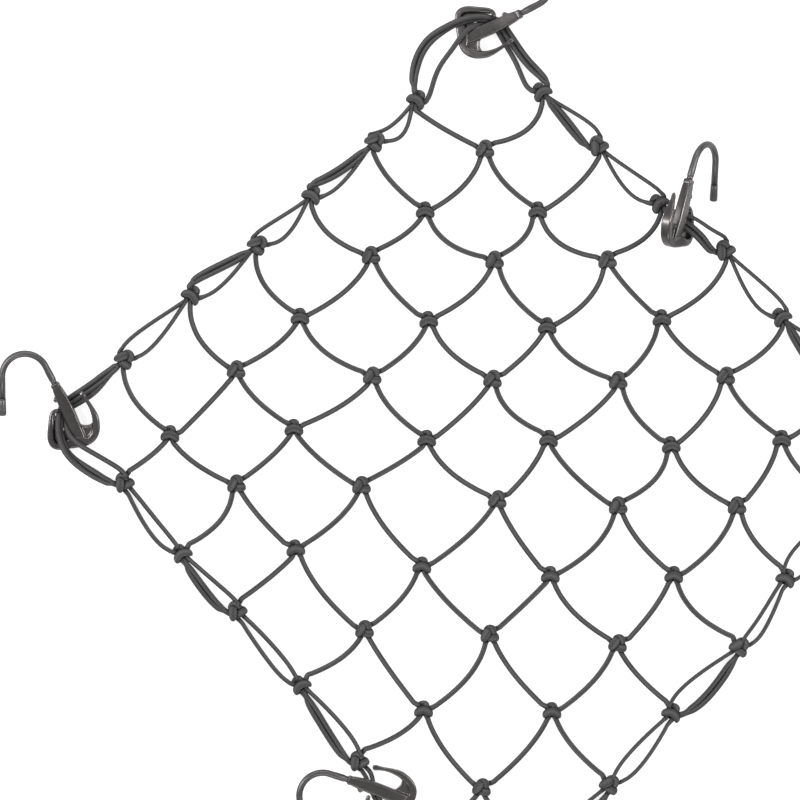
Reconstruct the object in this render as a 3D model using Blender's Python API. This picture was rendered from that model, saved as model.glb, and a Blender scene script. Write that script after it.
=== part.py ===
"""Elastic cargo net: seven by seven knotted meshes lying flat, with six anchor clips and wire hooks.

Net coordinates are millimetres with the net lying one corner up: x to the right, y up the net and z
off the floor. The layout empty turns them, so that the net's sides run along the world's X and Y.
A clip has coordinates of its own: y up its free wire leg, x across its arms and z out of its face.
"""
import math

import bmesh
import bpy
from mathutils import Matrix, Vector

mm = 0.001
gap = 0.3                      # between pieces that touch
layTurn = math.radians(45)     # net coordinates to world
layMiddle = (-8.8, -6.7)        # net point over the world origin

cordRadius = 1.9               # corner radius of the four-sided tube that stands for a cord about 3 mm across
pairRadius = 2.4               # two edge cords lying side by side
knotHeight = 4.0               # middle of a knot above the floor
cordDrop = 1.2                 # how far a cord sinks between two knots
knotHalf = (6.3, 6.0, 4.0)
edgeKnotHalf = (7.0, 6.8, 4.0)
knotTaper = 0.84               # top of a knot against its foot
holeClearance = 0.5            # round a cord that crosses another cord's knot
holeBeyond = 2.0               # how far that way runs past the knot's ports
insideKnot = 0.8               # edge cords end this far out from a knot's middle to its port

# Knot places (right, up). Each row is a line of knots that runs up to the right. The outer places
# are the net's edge, and its four corners carry a hook.
knotRows = [
    [(-269, 8), (-227, 52), (-184, 93), (-142, 125), (-107, 157), (-67, 191), (-40, 218), (-2, 270)],
    [(-228, -27), (-198, 4), (-156, 45), (-115, 79), (-70, 118), (-35, 147), (3, 186), (39, 223)],
    [(-191, -72), (-156, -28), (-119, 8), (-69, 41), (-33, 77), (9, 115), (37, 147), (75, 188)],
    [(-156, -109), (-118, -69), (-76, -29), (-34, 1), (8, 39), (43, 73), (81, 115), (113, 151)],
    [(-115, -156), (-74, -121), (-37, -80), (11, -38), (44, 1), (88, 38), (116, 78), (155, 121)],
    [(-78, -205), (-36, -172), (6, -124), (45, -86), (88, -42), (122, -3), (157, 41), (192, 79)],
    [(-40, -253), (1, -222), (46, -173), (88, -130), (124, -86), (164, -42), (193, 1), (230, 40)],
    [(1, -300), (41, -267), (83, -220), (123, -174), (166, -132), (196, -88), (232, -44), (269, -4)],
]
# Heights of the knots that the leaning hook holds off the floor, by row and place.
liftedKnots = {(2, 7): 8.0, (3, 7): 23.0, (4, 7): 20.0, (5, 7): 7.0, (3, 6): 7.0, (4, 6): 7.0}

# Bow of each cord below its chord, from the upper end of its line to the lower.
leftBows = [
    [7.0, 4.0, 2.0, 3.5, 2.5, 0.5, 1.0],
    [3.0, 3.5, 3.5, 2.5, 2.5, 1.5, 5.5],
    [5.0, 5.0, 1.5, 1.5, 1.0, 3.0, 1.0],
    [5.0, 3.0, 2.0, 2.0, 2.5, 3.0, 3.5],
    [3.5, 3.5, 5.0, 5.0, 0.5, 5.0, 3.0],
    [3.0, 2.5, 4.0, 2.0, 3.5, 3.0, 3.0],
]
rightBows = [
    [5.0, 2.5, 1.5, 3.5, 1.0, 3.0, 3.0],
    [6.0, 2.5, 2.0, 3.0, 2.0, 2.5, 3.0],
    [5.5, 5.0, 3.0, 4.0, 1.5, 4.0, 2.0],
    [5.5, 2.5, 4.0, 4.5, 2.5, 2.5, 5.5],
    [3.0, 5.5, 3.5, 4.5, 3.5, 4.0, 3.5],
    [1.0, 3.0, 6.0, 1.0, 2.5, 2.5, 3.5],
]
# Where cords meet a knot, from its middle: right offsets are for a line that falls to the right.
meshExit = (2.3, -5.6)
meshEntry = (-5.4, 3.2)
topExit = (6.2, -2.4)
topEntry = {"upper": (3.5, 5.6), "lower": (-0.8, 6.8)}
sideExit = (4.0, -5.6)
sideEntry = (-7.2, 0.5)
edgeMeshExit = (1.0, -7.0)
edgeMeshEntry = (-5.4, 3.8)

# Each side of the net, from its upper corner to its lower one: the bow and the number of cords of
# the run that meets the next knot at its top, and of the run that meets it at its side. A clip sits
# on the pair of runs that has none.
sides = {
    "top_left": dict(slope=-1, half="upper", runs=[
        dict(top=(0.0, 1), side=(5.5, 1)),
        dict(top=(1.0, 2), side=(2.0, 1)),
        dict(top=(-3.0, 1), side=(3.0, 1)),
        dict(top=(-4.5, 2), side=(2.0, 1)),
        dict(top=(-2.0, 1), side=(2.0, 1)),
    ]),
    "top_right": dict(slope=1, half="upper", runs=[
        dict(top=(-4.0, 1), side=(0.5, 2)),
        dict(top=(-2.5, 1), side=(5.0, 1)),
        None,
        dict(top=(-2.0, 1), side=(4.0, 1)),
        dict(top=(-2.0, 1), side=(3.0, 2)),
    ]),
    "bottom_left": dict(slope=1, half="lower", runs=[
        dict(top=(-2.0, 1), side=(6.0, 1)),
        dict(top=(0.0, 1), side=(4.5, 2)),
        dict(top=(-1.0, 1), side=(3.5, 1)),
        dict(top=(-1.0, 1), side=(2.0, 2)),
        None,
    ]),
    "bottom_right": dict(slope=-1, half="lower", runs=[
        dict(top=(-4.0, 1), side=(3.0, 1)),
        dict(top=(0.5, 1), side=(3.0, 1)),
        dict(top=(-3.5, 1), side=(3.0, 2)),
        dict(top=(-2.0, 1), side=(3.0, 1)),
        dict(top=(-2.0, 1), side=(3.0, 2)),
    ]),
}

# Clip: centre lines in its face (x, y), with the width there and the depth.
bandRows = [
    (-1.0, 27.6, 3.6, 2.6), (1.4, 23.4, 3.0, 3.8), (4.8, 17.6, 3.4, 5.4), (6.8, 11.7, 4.3, 6.6),
    (7.0, 5.9, 4.6, 6.6), (4.9, 0.3, 4.9, 6.6), (0.0, -3.0, 5.0, 6.6), (-7.5, -4.6, 4.6, 6.6),
    (-15.5, -5.9, 4.4, 6.6), (-20.2, -5.0, 4.6, 6.6), (-22.0, -0.6, 4.2, 6.6), (-21.9, 7.8, 3.4, 6.4),
    (-21.6, 14.0, 3.0, 4.6), (-18.9, 17.0, 2.6, 3.0),
]
shankRows = [
    (-19.2, 34.2, 5.6, 5.6), (-17.6, 30.8, 6.4, 5.4), (-14.3, 24.4, 7.6, 4.8), (-10.5, 17.0, 8.3, 4.6),
    (-7.0, 9.9, 8.2, 4.8), (-3.4, 3.3, 6.4, 5.2), (-0.8, -1.6, 3.6, 5.6),
]
webRows = [(2.6, 8.2, 6.6, 1.6), (2.2, 4.0, 6.4, 1.6), (1.4, -1.0, 4.0, 1.6)]
sectionChamfer = 0.7

wireRadius = 2.15
archMiddle = (-38.1, 39.0)
archRadius = 14.7
archSteps = 10
capRadius = 2.5
capRound = 0.8                 # off the radius, at the cap's end
capTop = 24.3
capEnd = 13.7

# Edge cords through a corner's clip, in the clip's coordinates: behind the shank, up through the
# pocket and over the crown. The outer cords lie towards the net's outside.
behindShank = {
    "outer": [(4.5, 37.5, -6.6), (-7.5, 26.5, -5.7), (-12.4, 21.8, -5.2)],
    "inner": [(6.8, 34.2, -6.6), (-5.6, 24.2, -5.4), (-12.2, 21.2, -5.2)],
}
overCrown = {
    "outer": [(-14.4, 19.2, -5.1), (-16.6, 14.8, -4.3), (-17.0, 11.0, -2.2), (-16.8, 6.5, 2.2),
              (-16.6, 2.0, 5.2), (-16.0, -3.0, 6.3), (-14.5, -8.0, 6.2), (-12.3, -12.5, 3.4)],
    "inner": [(-16.8, 6.5, 2.2), (-15.6, 2.0, 5.2), (-9.0, -3.6, 5.9), (-3.0, -7.6, 5.4),
              (3.0, -11.0, 2.6)],
}
# Edge cords through the clip between two edge knots, for the leaning clip and the flat one.
throughLeaning = {
    "top": [(-14.6, 17.0, 10.0), (-16.4, 15.6, 4.5), (-16.8, 12.8, -4.5), (-18.6, 10.6, -8.0),
            (-23.5, 7.0, -11.5)],
    "side": [(-15.4, 12.0, 11.0), (-16.8, 9.6, 4.5), (-17.0, 2.6, -4.5), (-19.0, -0.6, -8.0),
             (-23.5, -3.6, -11.5)],
}
throughFlat = {
    "top": [(-3.6, 25.4, -5.4), (-11.4, 20.4, -5.2), (-14.4, 14.6, -4.4), (-15.2, 10.8, -1.6),
            (-15.2, 6.5, 2.4), (-13.8, 1.5, 5.3), (-12.2, -4.0, 5.9), (-10.5, -9.0, 5.0)],
    "side": [(-7.5, 28.0, -5.4), (-13.0, 21.6, -5.2), (-16.2, 15.0, -4.4), (-17.3, 11.0, -1.8),
             (-17.4, 6.5, 2.2), (-17.2, 2.0, 5.2), (-16.8, -3.0, 5.9), (-15.6, -8.0, 5.4),
             (-14.5, -12.0, 3.2)],
}

# Hooks: where the foot of the shank is, and the clip's turn about its own y, pitch and roll.
hooks = {
    "left": dict(foot=(-252.2, 1.9, 4.8), turn=0, pitch=8, roll=0),
    "top": dict(foot=(-8.0, 253.0, 4.8), turn=0, pitch=8, roll=-90),
    "right": dict(foot=(252.0, 2.0, 4.8), turn=0, pitch=8, roll=180),
    "bottom": dict(foot=(7.0, -283.0, 4.8), turn=0, pitch=8, roll=90),
    "top_right": dict(foot=(120.1, 127.5, 41.1), turn=-122.3, pitch=17, roll=-2),
    "bottom_left": dict(foot=(-46.5, -227.0, 4.8), turn=0, pitch=8, roll=45),
}

for old in list(bpy.data.objects):
    bpy.data.objects.remove(old, do_unlink=True)
scene = bpy.context.scene
partCollection = bpy.data.collections.new("cargo_net")
toolCollection = bpy.data.collections.new("cutters")
scene.collection.children.link(partCollection)
scene.collection.children.link(toolCollection)


def makeMaterial(name, colour, roughness):
    material = bpy.data.materials.new(name)
    material.use_nodes = True
    shader = material.node_tree.nodes["Principled BSDF"]
    shader.inputs["Base Color"].default_value = (*colour, 1)
    shader.inputs["Roughness"].default_value = roughness
    shader.inputs["Metallic"].default_value = 0.0
    return material


cordMaterial = makeMaterial("cord", (0.07, 0.07, 0.07), 0.9)
clipMaterial = makeMaterial("clip", (0.06, 0.058, 0.055), 0.4)
wireMaterial = makeMaterial("wire", (0.05, 0.05, 0.05), 0.25)
capMaterial = makeMaterial("cap", (0.05, 0.05, 0.05), 0.35)

layout = bpy.data.objects.new("layout", None)
layout.rotation_euler = (0, 0, layTurn)
layout.location = Matrix.Rotation(layTurn, 3, "Z") @ Vector((*layMiddle, 0)) * -mm
partCollection.objects.link(layout)


def place(name, data, material, parent=layout, collection=partCollection):
    obj = bpy.data.objects.new(name, data)
    collection.objects.link(obj)
    obj.parent = parent
    if not data.materials:
        data.materials.append(material)
    if collection == toolCollection:
        obj.hide_render = True
        obj.display_type = "WIRE"
    return obj


def tubeCurve(name, runs, sideStep=0):
    """A curve with a round section: each run is its points (x, y, z) and their radii, in millimetres."""
    curve = bpy.data.curves.new(name, "CURVE")
    curve.dimensions = "3D"
    curve.twist_mode = "Z_UP"
    curve.bevel_depth = mm
    curve.bevel_resolution = sideStep
    curve.use_fill_caps = True
    for points, radii in runs:
        spline = curve.splines.new("POLY")
        spline.points.add(len(points) - 1)
        for target, point, radius in zip(spline.points, points, radii):
            target.co = (*(Vector(point) * mm), 1)
            target.radius = radius
    return curve


def tubeMesh(name, runs):
    """The tubes of tubeCurve as one mesh with welded caps."""
    holder = bpy.data.objects.new(name, tubeCurve(name, runs))
    scene.collection.objects.link(holder)
    bpy.context.view_layer.update()
    evaluated = holder.evaluated_get(bpy.context.evaluated_depsgraph_get())
    mesh = bpy.data.meshes.new_from_object(evaluated)
    bpy.data.objects.remove(holder, do_unlink=True)
    form = bmesh.new()
    form.from_mesh(mesh)
    bmesh.ops.remove_doubles(form, verts=form.verts, dist=1e-6)
    form.to_mesh(mesh)
    form.free()
    return mesh


def knotMesh(name, places, half):
    """Knots as six-sided blocks, narrower at the top."""
    form = bmesh.new()
    for middle in places:
        size = Matrix.Diagonal((half[0], half[1], half[2], 1))
        matrix = Matrix.Scale(mm, 4) @ Matrix.Translation(middle) @ size
        bmesh.ops.create_cone(form, cap_ends=True, segments=6, radius1=1, radius2=knotTaper, depth=2,
                              matrix=matrix)
    mesh = bpy.data.meshes.new(name)
    form.to_mesh(mesh)
    form.free()
    return mesh


def loftMesh(name, rows):
    """A bar with chamfered corners whose centre line lies in the plane z = 0."""
    form = bmesh.new()
    rings = []
    for index, (x, y, width, depth) in enumerate(rows):
        before = rows[max(index - 1, 0)]
        after = rows[min(index + 1, len(rows) - 1)]
        along = Vector((after[0] - before[0], after[1] - before[1], 0)).normalized()
        across = Vector((-along.y, along.x, 0))
        chamfer = min(sectionChamfer, width / 4, depth / 4)
        corners = []
        for sx, sz in ((1, 1), (-1, 1), (-1, -1), (1, -1)):
            wide = (width / 2 * sx, (depth / 2 - chamfer) * sz)
            deep = ((width / 2 - chamfer) * sx, depth / 2 * sz)
            corners += [wide, deep] if sx * sz > 0 else [deep, wide]
        middle = Vector((x, y, 0))
        rings.append([form.verts.new((middle + across * u + Vector((0, 0, v))) * mm) for u, v in corners])
    for first, second in zip(rings, rings[1:]):
        for k in range(8):
            form.faces.new((first[k], first[(k + 1) % 8], second[(k + 1) % 8], second[k]))
    form.faces.new(rings[0])
    form.faces.new(rings[-1])
    bmesh.ops.recalc_face_normals(form, faces=form.faces)
    mesh = bpy.data.meshes.new(name)
    form.to_mesh(mesh)
    form.free()
    return mesh


def combine(obj, other, operation):
    modifier = obj.modifiers.new(operation.lower(), "BOOLEAN")
    modifier.operation = operation
    modifier.object = other
    modifier.solver = "EXACT"


def knotPlace(row, column):
    right, up = knotRows[row][column]
    return Vector((right, up, liftedKnots.get((row, column), knotHeight)))


def port(knot, offset, slope):
    return knot + Vector((offset[0] * slope, offset[1], 0))


# How a cord bows between two knots: most just below the upper knot, or just above the lower one. Each
# pair is a place along the chord and how many times the bow the curve is pulled aside there.
earlyBow = ((0.30, 1.55), (0.68, 1.05))
lateBow = ((0.33, 0.6), (0.72, 2.0))
meshSteps = (0.0, 0.3, 0.68, 1.0)
edgeSteps = (0.0, 0.33, 0.7, 1.0)
routeSteps = (0.35, 0.7, 1.0)


def bowedCord(start, end, bow, pulls, steps):
    """Points from start down to end, bowed below the chord."""
    chord = end - start
    across = Vector((chord.y, -chord.x, 0)).normalized()
    if across.y > 0:
        across.negate()
    first, second = [start + chord * place + across * bow * pull for place, pull in pulls]
    points = []
    for t in steps:
        u = 1 - t
        point = start * u ** 3 + first * 3 * u * u * t + second * 3 * u * t * t + end * t ** 3
        point.z -= cordDrop * 4 * t * u
        points.append(point)
    return points


def outside(knot, offset, slope, half):
    """The end of a cord that stops just clear of a knot."""
    reach = math.hypot(offset[0] / half[0], offset[1] / half[1])
    length = math.hypot(offset[0], offset[1])
    scale = 1 / reach + (gap + 0.1) / length
    return knot + Vector((offset[0] * slope * scale, offset[1] * scale, 0))


def strandPoints(knots, bows, slope):
    """A mesh cord from the upper edge knot to the lower one, straight through the knots between."""
    points = []
    last = len(knots) - 1
    for index in range(last):
        if index == 0:
            start = outside(knots[0], edgeMeshExit, slope, edgeKnotHalf)
        else:
            start = port(knots[index], meshExit, slope)
        if index == last - 1:
            end = outside(knots[last], edgeMeshEntry, slope, edgeKnotHalf)
        else:
            end = port(knots[index + 1], meshEntry, slope)
        points += bowedCord(start, end, bows[index], earlyBow, meshSteps)
    return points


def knotPasses(points):
    """A straight run for each knot on the cord, a little longer than the cord's way through it."""
    runs = []
    for index in range(len(meshSteps), len(points), len(meshSteps)):
        entry, leave = points[index - 1:index + 1]
        beyond = (leave - entry).normalized() * holeBeyond
        runs.append(([entry - beyond, leave + beyond], [cordRadius + holeClearance] * 2))
    return runs


# Mesh cords. Those that fall to the right are plain, and those that fall to the left carry the knots.
crossings = {}
for column in range(1, 7):
    knots = [knotPlace(row, column) for row in range(8)]
    points = strandPoints(knots, rightBows[column - 1], 1)
    for row, run in enumerate(knotPasses(points), start=1):
        crossings[row, column] = run
    name = f"mesh_cord_right_{column}"
    place(name, tubeCurve(name, [(points, [cordRadius] * len(points))]), cordMaterial)

for row in range(1, 7):
    knots = [knotPlace(row, column) for column in range(7, -1, -1)]
    points = strandPoints(knots, leftBows[row - 1], -1)
    name = f"mesh_cord_left_{row}"
    strand = place(name, tubeMesh(name, [(points, [cordRadius] * len(points))]), cordMaterial)
    blocks = place(name + "_knots", knotMesh(name + "_knots", knots[1:7], knotHalf), cordMaterial,
                   collection=toolCollection)
    passes = [crossings[row, column] for column in range(1, 7)]
    holes = place(name + "_holes", tubeMesh(name + "_holes", passes), cordMaterial, collection=toolCollection)
    combine(strand, blocks, "UNION")
    combine(strand, holes, "DIFFERENCE")


# Hooks: a clip, its wire and the wire's cap, each a copy of one shape.
def hookMatrix(foot, turn, pitch, roll):
    return (Matrix.Translation(Vector(foot) * mm) @ Matrix.Rotation(math.radians(roll), 4, "Z")
            @ Matrix.Rotation(math.radians(pitch), 4, "X") @ Matrix.Rotation(math.radians(turn), 4, "Y"))


def wirePoints():
    collar = Vector((*shankRows[0][:2], 0))
    below = Vector((*shankRows[1][:2], 0))
    outward = (collar - below).normalized()
    middle = Vector((*archMiddle, 0))
    startAngle = math.atan2(outward.y, outward.x) - math.pi / 2
    points = [collar + outward * gap]
    for step in range(archSteps + 1):
        angle = startAngle + (math.pi - startAngle) * step / archSteps
        points.append(middle + Vector((math.cos(angle), math.sin(angle), 0)) * archRadius)
    points.append(Vector((archMiddle[0] - archRadius, capTop + gap, 0)))
    return points


wireLine = wirePoints()
wireCurve = tubeCurve("wire", [(wireLine, [wireRadius] * len(wireLine))], sideStep=2)
capX = archMiddle[0] - archRadius
capLine = [(capX, capTop, 0), (capX, capEnd + capRound, 0), (capX, capEnd, 0)]
capCurve = tubeCurve("cap", [(capLine, [capRadius, capRadius, capRadius - capRound])], sideStep=3)
clipShape = loftMesh("clip", bandRows)
shankTool = place("clip_shank", loftMesh("clip_shank", shankRows), clipMaterial, collection=toolCollection)
webTool = place("clip_web", loftMesh("clip_web", webRows), clipMaterial, collection=toolCollection)
clipHolder = place("clip_whole", clipShape, clipMaterial, collection=toolCollection)
combine(clipHolder, shankTool, "UNION")
combine(clipHolder, webTool, "UNION")
bpy.context.view_layer.update()
clipMesh = bpy.data.meshes.new_from_object(clipHolder.evaluated_get(bpy.context.evaluated_depsgraph_get()))

hookMatrices = {}
for name, pose in hooks.items():
    frame = bpy.data.objects.new(f"hook_{name}", None)
    partCollection.objects.link(frame)
    frame.parent = layout
    frame.matrix_basis = hookMatrix(**pose)
    hookMatrices[name] = frame.matrix_basis.copy()
    place(f"clip_{name}", clipMesh, clipMaterial, parent=frame)
    place(f"wire_{name}", wireCurve, wireMaterial, parent=frame)
    place(f"cap_{name}", capCurve, capMaterial, parent=frame)


# Edge cords: two runs between neighbouring edge knots, joined to the knots of their side.
def clipRoute(hook, route):
    return [hookMatrices[hook] @ (Vector(point) * mm) / mm for point in route]


def towards(start, end):
    return bowedCord(start, end, 0, lateBow, routeSteps)


def runRadii(points, count):
    return [cordRadius if count == 1 else pairRadius] * len(points)


def edgeRuns(side, knots, upperRoutes, lowerRoutes, middleRoutes):
    """The tubes of one side, each its points and radii. Routes hold points from the upper end down."""
    slope = side["slope"]
    entries = {"top": topEntry[side["half"]], "side": sideEntry}
    exits = {"top": topExit, "side": sideExit}
    tubes = []
    for kind in ("top", "side"):
        starts = [knot.lerp(port(knot, exits[kind], slope), insideKnot) for knot in knots[1:7]]
        ends = [knot.lerp(port(knot, entries[kind], slope), insideKnot) for knot in knots[1:7]]
        # The outer cords of an upper side come in at the top, and those of a lower side at the side.
        outer = (kind == "top") == (side["half"] == "upper")
        layer = "outer" if outer else "inner"
        count = 2 if outer else 1
        first = upperRoutes[layer] + towards(upperRoutes[layer][-1], ends[0])
        final = [starts[-1]] + lowerRoutes[layer]
        tubes += [(first, runRadii(first, count)), (final, runRadii(final, count))]
        for run, start, end in zip(side["runs"], starts, ends[1:]):
            if run:
                points = bowedCord(start, end, run[kind][0], lateBow, edgeSteps)
                tubes.append((points, runRadii(points, run[kind][1])))
            else:
                through = middleRoutes[kind]
                points = [start] + through + towards(through[-1], end)
                tubes.append((points, runRadii(points, 1)))
    return tubes


# The knots of each side from its upper corner down, and the routes through the clips at its ends.
sidePlaces = {
    "top_left": [(0, column) for column in range(7, -1, -1)],
    "top_right": [(row, 7) for row in range(8)],
    "bottom_left": [(row, 0) for row in range(8)],
    "bottom_right": [(7, column) for column in range(7, -1, -1)],
}
sideEnds = {
    "top_left": (("top", overCrown), ("left", behindShank)),
    "top_right": (("top", behindShank), ("right", overCrown)),
    "bottom_left": (("left", overCrown), ("bottom", behindShank)),
    "bottom_right": (("right", behindShank), ("bottom", overCrown)),
}
middleClips = {"top_right": throughLeaning, "bottom_left": throughFlat}


def endRoutes(hook, routes, leavesHook):
    """A corner's routes in net coordinates. They are written from the clip's outside to its crown."""
    turned = {layer: clipRoute(hook, route) for layer, route in routes.items()}
    if leavesHook == (routes is behindShank):
        turned = {layer: route[::-1] for layer, route in turned.items()}
    return turned


for name, side in sides.items():
    knots = [knotPlace(row, column) for row, column in sidePlaces[name]]
    (upperHook, upperRoutes), (lowerHook, lowerRoutes) = sideEnds[name]
    through = {kind: clipRoute(name, route) for kind, route in middleClips.get(name, {}).items()}
    tubes = edgeRuns(side, knots, endRoutes(upperHook, upperRoutes, True),
                     endRoutes(lowerHook, lowerRoutes, False), through)
    node = f"edge_cords_{name}"
    edge = place(node, knotMesh(node, knots[1:7], edgeKnotHalf), cordMaterial)
    runs = place(node + "_runs", tubeMesh(node + "_runs", tubes), cordMaterial, collection=toolCollection)
    combine(edge, runs, "UNION")
    edge.modifiers[-1].use_self = True

for obj in partCollection.objects:
    if obj.type == "MESH":
        obj.data.shade_smooth()
        obj.data.set_sharp_from_angle(angle=math.radians(40))
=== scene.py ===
import math
import random

import bmesh
import bpy
from mathutils import Matrix, Vector
from mathutils.bvhtree import BVHTree


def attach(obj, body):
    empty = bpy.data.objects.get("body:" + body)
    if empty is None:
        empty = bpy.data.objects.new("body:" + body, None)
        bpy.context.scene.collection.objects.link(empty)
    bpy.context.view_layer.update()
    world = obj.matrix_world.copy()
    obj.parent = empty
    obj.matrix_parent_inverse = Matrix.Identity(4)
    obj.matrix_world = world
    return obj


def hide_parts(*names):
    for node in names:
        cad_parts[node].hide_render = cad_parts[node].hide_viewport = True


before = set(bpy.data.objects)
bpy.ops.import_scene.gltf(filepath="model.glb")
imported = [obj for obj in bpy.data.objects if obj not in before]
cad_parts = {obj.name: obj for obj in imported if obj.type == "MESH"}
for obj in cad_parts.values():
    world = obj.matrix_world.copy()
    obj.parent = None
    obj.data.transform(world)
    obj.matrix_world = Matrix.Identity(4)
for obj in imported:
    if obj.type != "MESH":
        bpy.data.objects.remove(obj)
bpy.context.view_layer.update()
print("frame loaded:", len(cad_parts), "nodes")

# Net coordinates are millimetres: right, up the net and off the floor, with the net one corner up.
# A clip has its own: up its free wire leg, across its arms and out of its face.
mm = 0.001
net = {
    "turn": 45,                # degrees from net coordinates to the frame
    "middle": (-8.8, -6.7),    # net point over the frame's origin
    "knotHeight": 4.0,         # middle of a knot above the floor
    "knots": 8,                # knot places along a side, corners included
    "seed": 11,
}
netMatrix = (Matrix.Rotation(math.radians(net["turn"]), 4, "Z") @ Matrix.Scale(mm, 4)
             @ Matrix.Translation((-net["middle"][0], -net["middle"][1], 0)))
lastKnot = net["knots"] - 1

# Knot places (right, up). Each row is a line of knots that runs up to the right. The outer places
# are the net's edge, and its four corners carry a hook.
knotRows = [
    [(-269, 8), (-227, 52), (-184, 93), (-142, 125), (-107, 157), (-67, 191), (-40, 218), (-2, 270)],
    [(-228, -27), (-198, 4), (-156, 45), (-115, 79), (-70, 118), (-35, 147), (3, 186), (39, 223)],
    [(-191, -72), (-156, -28), (-119, 8), (-69, 41), (-33, 77), (9, 115), (37, 147), (75, 188)],
    [(-156, -109), (-118, -69), (-76, -29), (-34, 1), (8, 39), (43, 73), (81, 115), (113, 151)],
    [(-115, -156), (-74, -121), (-37, -80), (11, -38), (44, 1), (88, 38), (116, 78), (155, 121)],
    [(-78, -205), (-36, -172), (6, -124), (45, -86), (88, -42), (122, -3), (157, 41), (192, 79)],
    [(-40, -253), (1, -222), (46, -173), (88, -130), (124, -86), (164, -42), (193, 1), (230, 40)],
    [(1, -300), (41, -267), (83, -220), (123, -174), (166, -132), (196, -88), (232, -44), (269, -4)],
]
# Heights of the knots that the leaning hook holds off the floor, by row and place.
liftedKnots = {(2, 7): 8.0, (3, 7): 23.0, (4, 7): 20.0, (5, 7): 7.0, (3, 6): 7.0, (4, 6): 7.0}


class Look:    # a socket of a material, with the maths that its pattern needs
    def __init__(self, tree, socket=None):
        self.tree = tree
        self.socket = socket

    def node(self, kind, settings=None, inputs=None, output=0):
        made = self.tree.nodes.new(kind)
        for name, value in (settings or {}).items():
            setattr(made, name, value)
        for key, value in (inputs or {}).items():
            if isinstance(value, Look):
                self.tree.links.new(value.socket, made.inputs[key])
            else:
                made.inputs[key].default_value = value
        return Look(self.tree, made.outputs[output])

    def maths(self, operation, *values):
        return self.node("ShaderNodeMath", {"operation": operation}, dict(enumerate(values)))

    def __add__(self, other):
        return self.maths("ADD", self, other)

    def __sub__(self, other):
        return self.maths("SUBTRACT", self, other)

    def __mul__(self, other):
        return self.maths("MULTIPLY", self, other)

    def __rsub__(self, other):
        return self.maths("SUBTRACT", other, self)

    def __truediv__(self, other):
        return self.maths("DIVIDE", self, other)

    __radd__ = __add__
    __rmul__ = __mul__

    def clamped(self):
        return self.maths("MAXIMUM", self.maths("MINIMUM", self, 1.0), 0.0)

    def blend(self, first, second):    # colours, from first at 0 to second at 1
        return self.node("ShaderNodeMix", {"data_type": "RGBA"}, {0: self, 6: first, 7: second}, 2)


def newMaterial(name, **fixed):
    material = bpy.data.materials.new(name)
    material.use_nodes = True
    shader = material.node_tree.nodes["Principled BSDF"]
    for socket, value in fixed.items():
        shader.inputs[socket.replace("_", " ")].default_value = value
    return material, shader, Look(material.node_tree)


def connect(shader, **looks):
    for socket, look in looks.items():
        look.tree.links.new(look.socket, shader.inputs[socket.replace("_", " ")])


cordLook = {
    "carriers": 8,             # strands of the braid in each direction
    "pitch": 1.5 * mm,         # along the cord, from one crossing to the next
    "ribs": 4,                 # low ridges along the cord
    "fibreScale": 900.0,
    "patchScale": 45.0,
    # What the shade is made of, from dark at 0 to light at 1.
    "shares": dict(braid=0.4, fibres=0.35, patches=0.5, ribs=0.3, less=0.18),
    "dark": (0.026, 0.025, 0.026, 1),
    "light": (0.067, 0.064, 0.067, 1),
    # Painted shade: the near-black colour of places between pressed cords where little light gets in,
    # and how soon such a place takes it fully.
    "creaseShade": (0.004, 0.004, 0.004, 1),
    "creaseShadeGain": 2.6,         # how soon a shut-in place is fully dark
    "relief": dict(strength=0.8, height=0.16 * mm, fibres=0.3, ribs=0.4),
}


def cordMaterial():
    material, shader, look = newMaterial("braidedCord", Roughness=0.85, Specular_IOR_Level=0.3)
    around = look.node("ShaderNodeAttribute", {"attribute_name": "around"}, output=1)
    along = look.node("ShaderNodeAttribute", {"attribute_name": "along"}, output=2)
    creaseShade = look.node("ShaderNodeAttribute", {"attribute_name": "creaseShade"}, output=2)
    cosine = look.node("ShaderNodeSeparateXYZ", inputs={0: around})
    sine = look.node("ShaderNodeSeparateXYZ", inputs={0: around}, output=1)
    angle = look.maths("ARCTAN2", sine, cosine)
    across = angle * (cordLook["carriers"] / (2 * math.pi))
    down = along / cordLook["pitch"]
    first = look.maths("SINE", (across + down) * math.pi)
    second = look.maths("SINE", (across - down) * math.pi)
    over = look.maths("GREATER_THAN", first * second, 0.0)
    braid = over * look.maths("ABSOLUTE", first) + (1 - over) * look.maths("ABSOLUTE", second)
    ribs = look.maths("SINE", angle * cordLook["ribs"])
    spot = look.node("ShaderNodeTexCoord", output=3)
    fibres = look.node("ShaderNodeTexNoise", inputs={
        "Vector": spot, "Scale": cordLook["fibreScale"], "Detail": 2.0})
    patches = look.node("ShaderNodeTexNoise", inputs={
        "Vector": spot, "Scale": cordLook["patchScale"], "Detail": 3.0})
    shares = cordLook["shares"]
    shade = (braid * shares["braid"] + fibres * shares["fibres"] + patches * shares["patches"]
             + ribs * shares["ribs"] - shares["less"])
    colour = shade.clamped().blend(cordLook["dark"], cordLook["light"])
    # Painted shade: the colour is blended towards the dark crease colour by how much of each point's
    # outlook other cords shut off.
    shut = look.maths("MINIMUM", creaseShade * cordLook["creaseShadeGain"], 1.0)
    relief = cordLook["relief"]
    bumps = look.node("ShaderNodeBump", inputs={
        "Strength": relief["strength"], "Distance": relief["height"],
        "Height": braid + fibres * relief["fibres"] + ribs * relief["ribs"]})
    connect(shader, Base_Color=shut.blend(colour, cordLook["creaseShade"]), Normal=bumps)
    return material


cord = cordMaterial()
print("cord material made")

cordSizes = {
    "radius": 1.68,            # mm
    "sides": 14,
    "steps": 3,                # rings for each point of the path
    "sink": 2.1,               # how far a cord sinks between two knots
    "hookSink": 0.8,           # and between a knot and a hook
    "hookStep": 3.0,           # from point to point of a way through a hook
    "hookRounds": 6,           # rounds of easing its corners
}
# Points of a run, as parts of its way from one knot to the next.
runPlaces = (0.06, 0.2, 0.4, 0.6, 0.8, 0.94)
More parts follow.
